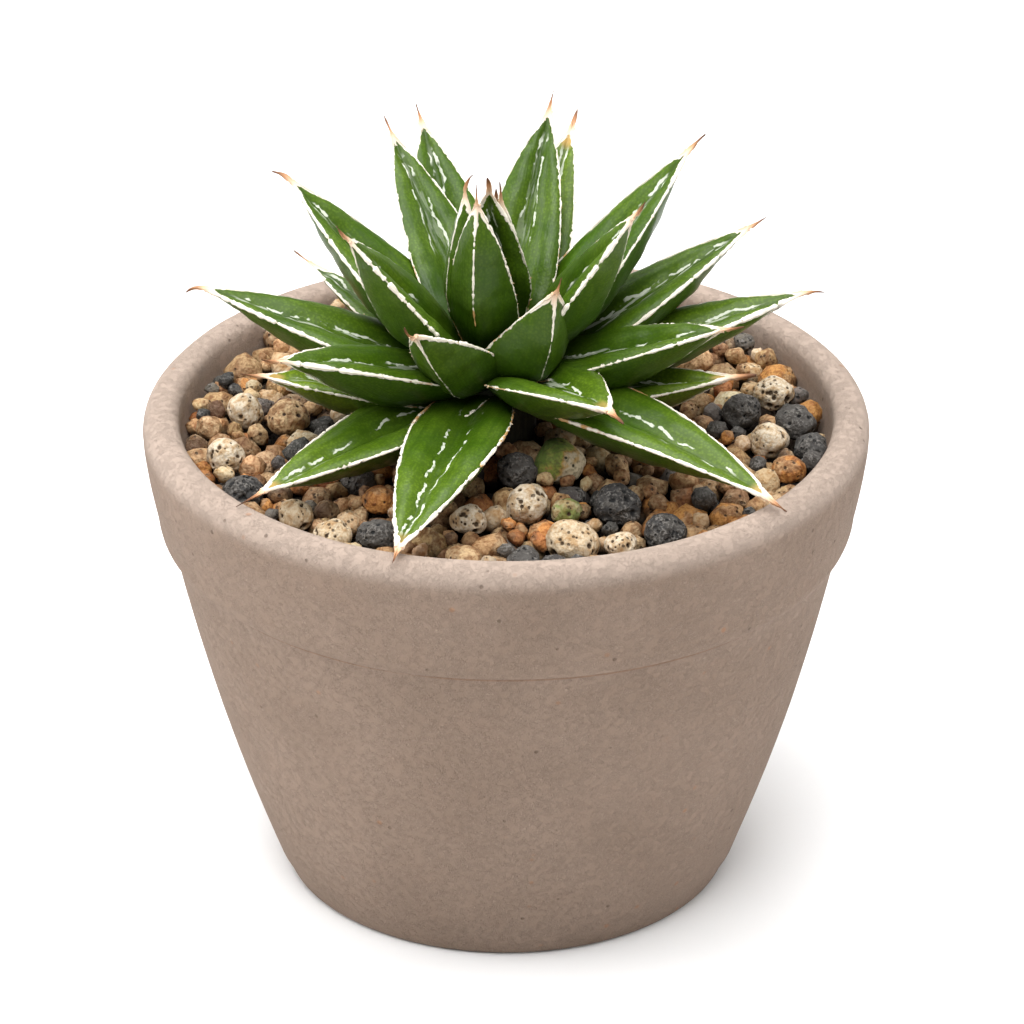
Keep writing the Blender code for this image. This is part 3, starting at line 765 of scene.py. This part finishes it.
def leaf_section():
    """The closed section at the root, with its halves mirrored."""
    half, depth = half_width(0.0), keel_depth(0.0)
    left = list(UPPER_FACE)
    right = [(-y, z) for y, z in reversed(UPPER_FACE[:-1])]
    under = [(-y, z) for y, z in UNDERSIDE] + list(reversed(UNDERSIDE[:-1]))
    ring = [(0.0, y * half, z * depth) for y, z in left + right + under]
    return ring, len(left + right)


def model_leaf():
    """The straight leaf: a keeled blade drawn out from its section to the end of its spine."""
    ring, upper = leaf_section()
    blade = outline("model leaf", ring + ring[:1])
    edit(blade)
    bpy.ops.mesh.remove_doubles(threshold=0.001 * MM)
    done()
    give(blade.data, "upper", [1.0 if i < upper else 0.0 for i in range(len(ring))])
    edit(blade)
    bpy.ops.mesh.edge_face_add()
    bpy.ops.mesh.select_mode(type="VERT")
    shares = [i / 44 for i in range(1, 37)] + [0.82 + 0.18 * i / 14 for i in range(1, 15)]
    size = (half_width(0.0), keel_depth(0.0))
    place = 0.0
    sections = [(share * MODEL_LENGTH, half_width(share), keel_depth(share)) for share in shares]
    for share, radius in SPINE_TAPER:
        sections.append((MODEL_LENGTH + MODEL_SPINE * share, radius * MM, 1.5 * radius * MM))
    for where, half, depth in sections:
        bpy.ops.mesh.extrude_region_move(
            TRANSFORM_OT_translate={"value": (where - place, 0.0, 0.0)}
        )
        bpy.ops.transform.resize(
            value=(1.0, half / size[0], depth / size[1]), center_override=(where, 0.0, 0.0)
        )
        place, size = where, (half, depth)
    bpy.ops.mesh.select_all(action="SELECT")
    bpy.ops.mesh.normals_make_consistent(inside=False)
    done()
    blade.data.materials.append(LEAF)
    group(blade, "flesh", range(len(blade.data.vertices)))
    return blade


def edge_radii(shares, thick, reach, broken, length, rng):
    """How thick a horn edge is at each place: bold and broken outward, a thin thread inward."""
    found, dash, gap = [], rng.uniform(3.0, 8.0), 0.0
    step = length / MM * (shares[1] - shares[0])
    wave = rng.uniform(0.0, 9.0)
    for share in reversed(shares):
        bold = min(max((share - reach) / 0.3 + 0.25, 0.0), 1.0)
        radius = 0.08 + (thick - 0.08) * bold
        dash -= step
        if dash < 0:
            gap = rng.uniform(0.4, 1.0) * broken
            dash = rng.uniform(1.6, 5.5) / max(broken, 0.3) + gap
        if gap > 0:
            radius *= 0.15
            gap -= step
        spot = Vector((share * length / MM, wave, 0.0))
        radius *= 1.0 + 0.7 * noise.noise(spot * 0.35) + 0.5 * noise.noise(spot * 1.1)
        found.append(max(radius, 0.03) * MM)
    return found[::-1]


def add_edges(name, length, widen, rng):
    """Raised horn along both margins and the keel of a straight leaf."""
    row = EDGES.get(name, COMMON_EDGES)
    right, left, keel, right_reach, left_reach, keel_reach, broken = row
    shares = [i / 130 for i in range(5, 130)]
    found = []
    # Seen along the leaf from its root, the left edge is on the side of +Y.
    edges = ((1, left, left_reach), (-1, right, right_reach), (0, keel, keel_reach))
    for side, thick, reach in edges:
        points = []
        for share in shares:
            across = side * half_width(share) * widen
            down = 0.0 if side else -keel_depth(share) * widen
            points.append((share * length, across, down))
        radii = edge_radii(shares, thick, reach, broken, length, rng)
        if not side:
            radii = [
                radius if share > reach - 0.12 else 0.02 * MM
                for share, radius in zip(shares, radii)
            ]
        edge = tube(name + " edge", points, radii)
        edge.data.materials.append(HORN)
        give(edge.data, "upper", 0.5)
        group(edge, "horn edge", range(len(edge.data.vertices)))
        found.append(edge)
    return found


def model_tooth():
    """A small hooked tooth, pointing to +Y from its foot at the origin."""
    choose()
    bpy.ops.mesh.primitive_cone_add(
        vertices=6, radius1=0.34 * MM, radius2=0.07 * MM, depth=0.9 * MM,
        location=(0, 0, 0), rotation=(-math.pi / 2, 0, 0),
    )
    tooth = bpy.context.object
    tooth.name = "model tooth"
    bpy.ops.object.transform_apply()
    edit(tooth)
    bpy.ops.mesh.subdivide(number_cuts=1)
    done()
    for vert in tooth.data.vertices:
        reach = vert.co.y / MM + 0.45
        vert.co.x += 0.35 * MM * reach**2
        vert.co.y += 0.3 * MM
    tooth.data.materials.append(TOOTH)
    give(tooth.data, "upper", 0.5)
    return tooth


def path_of(bend, length, spine, hook):
    """The line that bends a straight leaf, in its upright plane, from lift 0."""
    spot, before, points = Vector(), 0.0, []
    for run in [length * i / 26 for i in range(26)] + [length + spine * i / 8 for i in range(9)]:
        middle = (run + before) / 2
        turn = bend * min(middle / length, 1.0) + hook * max((middle - length) / spine, 0.0)
        spot = spot + Vector((math.cos(turn), 0.0, math.sin(turn))) * (run - before)
        points.append(spot)
        before = run
    path = thread("leaf line", points)
    path.data.twist_mode = "Z_UP"
    return path


def add_teeth(tooth, name, length, widen, rng):
    """Teeth along both edges, larger toward the root."""
    found = []
    for side in (1, -1):
        share = rng.uniform(0.07, 0.12)
        while share < 0.8:
            piece = copy_of(tooth, name + " tooth")
            size = rng.uniform(0.35, 0.8) * (1.1 - 0.7 * share)
            lean = Matrix.Rotation(rng.uniform(-0.5, 0.5), 4, "X")
            facing = Matrix.Diagonal((1, side, 1, 1))
            place = Vector((share * length, side * half_width(share) * widen, 0.0))
            piece.data.transform(
                Matrix.Translation(place) @ facing @ lean @ Matrix.Scale(size, 4)
            )
            if side < 0:
                piece.data.flip_normals()
            found.append(piece)
            share += rng.uniform(0.04, 0.12)
    return found


def grow_leaf(model, tooth, name, row, number):
    """Sizes a copy of the straight leaf, gives it edges and teeth, bends it and plants it."""
    azimuth, lift, bend, hook, roll = (math.radians(row[i]) for i in (0, 1, 2, 6, 7))
    length, width, height = (value * MM for value in row[3:6])
    spine = SPINES.get(name, COMMON_SPINE) * MM
    rng = random.Random(number + 11)
    widen = width / MODEL_WIDTH
    leaf = copy_of(model, "grown_" + name)
    leaf.data.transform(Matrix.Diagonal((length / MODEL_LENGTH, widen, widen, 1.0)))
    extras = add_edges(name, length, widen, rng) + add_teeth(tooth, name, length, widen, rng)
    leaf = join(extras + [leaf], "grown_" + name)

    # What the finish reads, taken while the leaf is still straight.
    co = points_of(leaf.data)
    upper = take(leaf.data, "upper")
    along = co[:, 0] / length
    half = np.array([half_width(share) for share in along]) * widen
    depth = np.array([keel_depth(share) for share in along]) * widen
    edge = np.hypot(np.abs(co[:, 1]) - half, co[:, 2])
    keel = np.hypot(co[:, 1], co[:, 2] + depth)
    drawn = MODEL_SPINE * length / MODEL_LENGTH
    beyond = np.clip(co[:, 0] - length, 0.0, None) * spine / drawn
    co[:, 0] = np.minimum(co[:, 0], length) + beyond
    from_tip = np.where(beyond > 0, -beyond, length - co[:, 0])
    leaf.data.vertices.foreach_set("co", co.astype(np.float32).ravel())
    start, end, silver, yellow, pale = MARKS.get(name, PLAIN)
    read = {
        "blade": np.stack([along, co[:, 1] / MM, upper], 1),
        "rims": np.stack([edge, keel, from_tip], 1) / MM,
        "mark": (number, start, end),
        "habit": (silver, yellow, pale),
    }
    for layer, values in read.items():
        give(leaf.data, layer, values, "FLOAT_VECTOR")

    leaf.data.transform(Matrix.Rotation(roll, 4, "X"))
    path = path_of(bend, length, spine, hook)
    bent = leaf.modifiers.new("bend", "CURVE")
    bent.object = path
    apply_all(leaf)
    bpy.data.objects.remove(path)
    x = STEM.x + LEAF_REACH * math.cos(azimuth)
    y = STEM.y + LEAF_REACH * math.sin(azimuth)
    leaf.data.transform(
        Matrix.Translation((x, y, height))
        @ Matrix.Rotation(azimuth, 4, "Z")
        @ Matrix.Rotation(-lift, 4, "Y")
    )
    displace(leaf, unevenness("leaf swell", 7 * MM), 1.0 * MM, "flesh")
    displace(leaf, unevenness("leaf ripple", 2.6 * MM, 1), 0.34 * MM, "flesh")
    displace(leaf, unevenness("ragged horn", 0.9 * MM), 0.24 * MM, "horn edge")
    apply_all(leaf)
    bpy.ops.object.shade_smooth_by_angle(angle=math.radians(50))
    finish_piece(leaf, name)


def make_leaves():
    model, tooth = model_leaf(), model_tooth()
    for number, (name, row) in enumerate(LEAVES.items()):
        grow_leaf(model, tooth, name, row, number)
    for spent in (model, tooth):
        bpy.data.objects.remove(spent)


# --- Stones ---

# Each tint's finish and colour.
TINTS = {
    "pale cream": ("cream", (0.53, 0.43, 0.3)),
    "cream": ("cream", (0.47, 0.345, 0.205)),
    "ivory": ("cream", (0.58, 0.5, 0.385)),
    "black": ("dark", (0.033, 0.031, 0.03)),
    "slate": ("dark", (0.068, 0.062, 0.056)),
    "grey": ("dark", (0.17, 0.145, 0.12)),
    "tan": ("tan", (0.44, 0.275, 0.135)),
    "sand": ("tan", (0.52, 0.365, 0.2)),
    "orange": ("tan", (0.46, 0.21, 0.06)),
    "rust": ("tan", (0.33, 0.14, 0.045)),
    "brown": ("tan", (0.27, 0.155, 0.075)),
    "umber": ("tan", (0.16, 0.1, 0.06)),
    "green": ("cream", (0.19, 0.23, 0.075)),
}
# For each kind of large stone: the tints it can have, how many pits, and its slot.
KINDS = {
    "pumice": (("ivory", "pale cream"), 38, "pumice"),
    "lava_stone": (("black", "slate"), 30, "lava"),
    "clay_pebble": (("sand", "orange"), 9, "clay_pebble"),
    "green_pebble": (("green",), 18, "green_stone"),
    "mossy_stone": (("green",), 18, "green_stone"),
}
STONES = sorted(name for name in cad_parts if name.startswith(tuple(KINDS)))
# How common each tint is among the grains.
SHARES = {
    "tan": 22, "sand": 13, "brown": 17, "umber": 4, "orange": 9, "rust": 5,
    "pale cream": 8, "cream": 10, "black": 6, "slate": 5, "grey": 6,
}
# Smoothing shrinks a stone and knocking shrinks a grain, so they are swelled by these.
STONE_SWELL = 1.06
GRAIN_SWELL = 1.16
# How near a grain's middle comes to its neighbours' and to the leaves, as shares of the radii.
GRAIN_TOUCH = 0.9
LEAF_TOUCH = 0.92
# Grain radii in mm from and to, how many spots each tries, and after how many misses to stop.
GRAIN_SIZES = ((2.4, 3.7, 6, 900), (1.8, 2.6, 10, 500), (1.2, 1.7, 20, 140))
MOST_GRAINS = 3000
# The gravel's top: its height at the middle, its rise to the back, the heap round the stem.
GRAVEL_TOP = 91.9 * MM
GRAVEL_SLOPE = 0.05
GRAVEL_DEPTH = 6.0 * MM
GRAVEL_REACH = 62.3 * MM
HEAP_HEIGHT = 3.0 * MM
HEAP_RADIUS = 20.0 * MM


def dent(mesh, pits, rng, size):
    """Presses round holes into a stone, and tells its finish where they are, for the painted shade
    in them.
    """
    co = points_of(mesh)
    centre = co.mean(0)
    hollow = np.zeros(len(co))
    for _ in range(pits):
        at = co[rng.randrange(len(co))]
        radius = rng.uniform(0.03, 0.1) * size * rng.choice((0.6, 1.0, 1.4))
        near = np.linalg.norm(co - at, axis=1) / radius
        press = np.clip(1 - near**2, 0, 1) ** 1.5
        inward = centre - co
        inward /= np.linalg.norm(inward, axis=1)[:, None] + 1e-9
        co += inward * (press * radius * 0.75)[:, None]
        hollow = np.maximum(hollow, press)
    mesh.vertices.foreach_set("co", co.astype(np.float32).ravel())
    give(mesh, "hollow", hollow)


def wear_stone(node, number):
    """A stone's solid, smoothed, roughened and pitted."""
    kind = node.rstrip("_0123456789")
    tints, pits, slot = KINDS[kind]
    rng = random.Random(number + 301)
    stone = copy_of(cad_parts[node], "worn_" + node)
    stone.parent = None
    for key in list(stone.keys()):
        del stone[key]
    edit(stone)
    bpy.ops.mesh.remove_doubles(threshold=0.001 * MM)
    done()
    low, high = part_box(node)
    middle, size = (low + high) / 2, (high.x - low.x + high.y - low.y) / 2
    stone.data.transform(
        Matrix.Translation(middle) @ Matrix.Scale(STONE_SWELL, 4) @ Matrix.Translation(-middle)
    )
    rounded = stone.modifiers.new("rounded", "SUBSURF")
    rounded.levels = rounded.render_levels = 3
    rough = 1.0 if kind == "lava_stone" else 0.45
    displace(stone, unevenness("stone lumps", 3.6 * MM), (0.6 + 0.6 * rough) * MM)
    displace(stone, unevenness("stone chips", 1.2 * MM, 3), 0.4 * rough * MM)
    apply_all(stone)
    dent(stone.data, pits, rng, size)
    finish, tint = TINTS[rng.choice(tints)]
    tint_points(stone.data, tint)
    choose(stone)
    bpy.ops.object.shade_smooth()
    finish_piece(stone, node, MOSS if kind == "mossy_stone" else STONE[finish])


def pebble_models(count):
    """Small grains of 80 faces, each knocked into its own shape."""
    made = []
    for number in range(count):
        choose()
        bpy.ops.mesh.primitive_ico_sphere_add(subdivisions=2, radius=1.0)
        grain = bpy.context.object
        grain.name = f"model pebble {number}"
        rng = random.Random(number + 71)
        for vert in grain.data.vertices:
            bump = noise.noise(vert.co * 1.2 + Vector((number * 5.3, 0, 0)))
            chip = noise.noise(vert.co * 2.6 + Vector((0, number * 3.1, 0)))
            vert.co *= 1.0 + 0.34 * bump + 0.16 * chip
        for _ in range(rng.randrange(1, 5)):
            broken = Vector([rng.gauss(0, 1) for _ in range(3)]).normalized()
            flat = rng.uniform(0.66, 0.86)
            for vert in grain.data.vertices:
                over = vert.co.dot(broken) - flat
                if over > 0:
                    vert.co -= broken * over * 0.85
        stretch = (1.08, rng.uniform(0.82, 1.05), rng.uniform(0.72, 0.95), 1.0)
        grain.data.transform(Matrix.Diagonal(stretch))
        bpy.ops.object.shade_smooth()
        give(grain.data, "hollow", 0.0)
        made.append(grain)
    return made


def height_where(radius):
    """How high the pot's inner wall first leaves room for that radius."""
    drop = (WALL_TOP_RADIUS - radius / MM) * (WALL_TOP - FLOOR_HEIGHT) / WALL_INSET
    return (WALL_TOP - drop) * MM


def gravel_level(x, y):
    """The gravel rises towards the back, and is heaped round the stem."""
    away = math.hypot(x - STEM.x, y - STEM.y) / HEAP_RADIUS
    return GRAVEL_TOP + GRAVEL_SLOPE * y + HEAP_HEIGHT * math.exp(-(away**2))


def tint_points(mesh, tint):
    """A stone's tint, and how far in mm each point lies below the top of the gravel, for the
    painted shade deep in it.
    """
    give(mesh, "tint", rgb(*tint), "FLOAT_COLOR")
    give(mesh, "sunk", [(gravel_level(x, y) - z) / MM for x, y, z in points_of(mesh)])


def plant_surface():
    """The leaves and the stem as one tree of faces, to keep the grains off them."""
    verts, faces = [], []
    for name in list(LEAVES) + ["stem"]:
        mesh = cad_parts[name].data
        base = len(verts)
        verts += [vert.co.copy() for vert in mesh.vertices]
        faces += [[base + i for i in face.vertices] for face in mesh.polygons]
    return BVHTree.FromPolygons(verts, faces)


def settle(rng):
    """Drops grains between the stones, each into the lowest of a few spots near the top."""
    boxes = [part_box(name) for name in STONES]
    plant = plant_surface()
    grid = np.zeros((MOST_GRAINS, 4))
    known = count = len(boxes)
    grid[:known] = [(*((low + high) / 2), (sum(high) - sum(low)) / 6) for low, high in boxes]
    for small, large, spots, misses in GRAIN_SIZES:
        failed = 0
        while failed < misses and count < MOST_GRAINS:
            radius = rng.uniform(small, large) * MM
            best = None
            for _ in range(spots):
                reach = math.sqrt(rng.random()) * (GRAVEL_REACH - radius)
                turn = rng.uniform(0.0, math.tau)
                x, y = reach * math.cos(turn), reach * math.sin(turn)
                top = gravel_level(x, y)
                near = grid[:count]
                gap = (near[:, 0] - x) ** 2 + (near[:, 1] - y) ** 2
                touch = (near[:, 3] + radius) * GRAIN_TOUCH
                under = gap < touch**2
                z = max(top - GRAVEL_DEPTH + radius, height_where(reach + radius))
                if under.any():
                    z = max(z, (near[under, 2] + np.sqrt(touch[under] ** 2 - gap[under])).max())
                if best is None or z - top < best[2] - best[3]:
                    best = (x, y, z, top)
            x, y, z, top = best
            if z + radius * 0.6 > top + rng.uniform(0.0, 1.4) * MM:
                failed += 1
                continue
            spot, normal, _, away = plant.find_nearest(Vector((x, y, z)))
            inside = (Vector((x, y, z)) - spot).dot(normal) < 0
            if inside or away < radius * LEAF_TOUCH:
                failed += 0.3
                continue
            grid[count] = (x, y, z, radius)
            count += 1
    return grid[known:count]


def scatter_gravel():
    """Loose gravel between the large stones: tan and brown most of all, with cream and lava."""
    rng = random.Random(23)
    models = pebble_models(12)
    names, weights = zip(*SHARES.items())
    grains = []
    for x, y, z, radius in settle(rng):
        finish, tint = TINTS[rng.choices(names, weights)[0]]
        grain = copy_of(rng.choice(models), "grain")
        place = Matrix.Translation((x, y, z)) @ Matrix.Rotation(rng.uniform(0, math.tau), 4, "Z")
        for axis in "XY":
            place = place @ Matrix.Rotation(rng.gauss(0, 0.45), 4, axis)
        grain.data.transform(place @ Matrix.Scale(radius * GRAIN_SWELL, 4))
        shade = rng.uniform(0.78, 1.25)
        tint = [min(value * shade * rng.uniform(0.95, 1.05), 0.9) for value in tint]
        tint_points(grain.data, tint)
        grain.data.materials.append(STONE[finish])
        grains.append(grain)
    gravel = join(grains, "loose_gravel")
    for spent in models:
        bpy.data.objects.remove(spent)
    finish_piece(gravel, "gravel_bed")


# --- Stage ---

WORLD_STRENGTH = 0.34
FLOOR_SIZE = 8.0
FLOOR_ALBEDO = 0.8
FLOOR_GLOW = 0.03
# Name: where it stands, the height it aims at over the origin, its width in metres and its watts.
LIGHTS = {
    "top light": ((-0.15, 0.2, 1.5), 0.08, 1.65, 43.0),
    "front light": ((-0.1, -0.8, 1.35), 0.09, 0.7, 13.0),
    "left light": ((-1.35, 0.0, 0.6), 0.08, 0.8, 12.5),
    "right light": ((1.4, 0.2, 0.6), 0.08, 0.8, 9.0),
}
CAMERA_PLACE = (1.13 * MM, -1.0669, 0.6232)
CAMERA_DIP = math.radians(27.24)
CAMERA_LENS = 217.1


def soft_light(name, place, aim, width, energy):
    """A square lamp that faces the point at height aim over the origin."""
    light = bpy.data.lights.new(name, "AREA")
    light.size = width
    light.energy = energy
    obj = add_object(name, light)
    obj.location = place
    look = Vector((0, 0, aim)) - Vector(place)
    obj.rotation_euler = look.to_track_quat("-Z", "Y").to_euler()


def set_room():
    """A white world and a pale floor."""
    scene = bpy.context.scene
    scene.view_settings.view_transform = "Standard"
    world = bpy.data.worlds.new("white room")
    world.use_nodes = True
    sky = world.node_tree.nodes["Background"].inputs
    sky["Color"].default_value = rgb(1.0, 1.0, 1.0)
    sky["Strength"].default_value = WORLD_STRENGTH
    scene.world = world
    choose()
    bpy.ops.mesh.primitive_plane_add(size=FLOOR_SIZE, location=(0, 0, 0))
    floor = bpy.context.object
    floor.name = "floor"
    f = Finish("white floor")
    albedo = rgb(*[FLOOR_ALBEDO] * 3)
    f.close(albedo, 0.9, Emission_Color=rgb(1.0, 1.0, 1.0), Emission_Strength=FLOOR_GLOW)
    floor.data.materials.append(f.material)


def set_camera():
    camera = bpy.data.cameras.new("camera")
    camera.lens = CAMERA_LENS
    camera.sensor_width = 36.0
    obj = add_object("camera", camera)
    obj.location = CAMERA_PLACE
    obj.rotation_euler = (math.pi / 2 - CAMERA_DIP, 0.0, 0.0)
    bpy.context.scene.camera = obj


make_pot()
make_leaves()
for number, node in enumerate(STONES):
    wear_stone(node, number)
scatter_gravel()
set_room()
for name, row in LIGHTS.items():
    soft_light(name, *row)
set_camera()
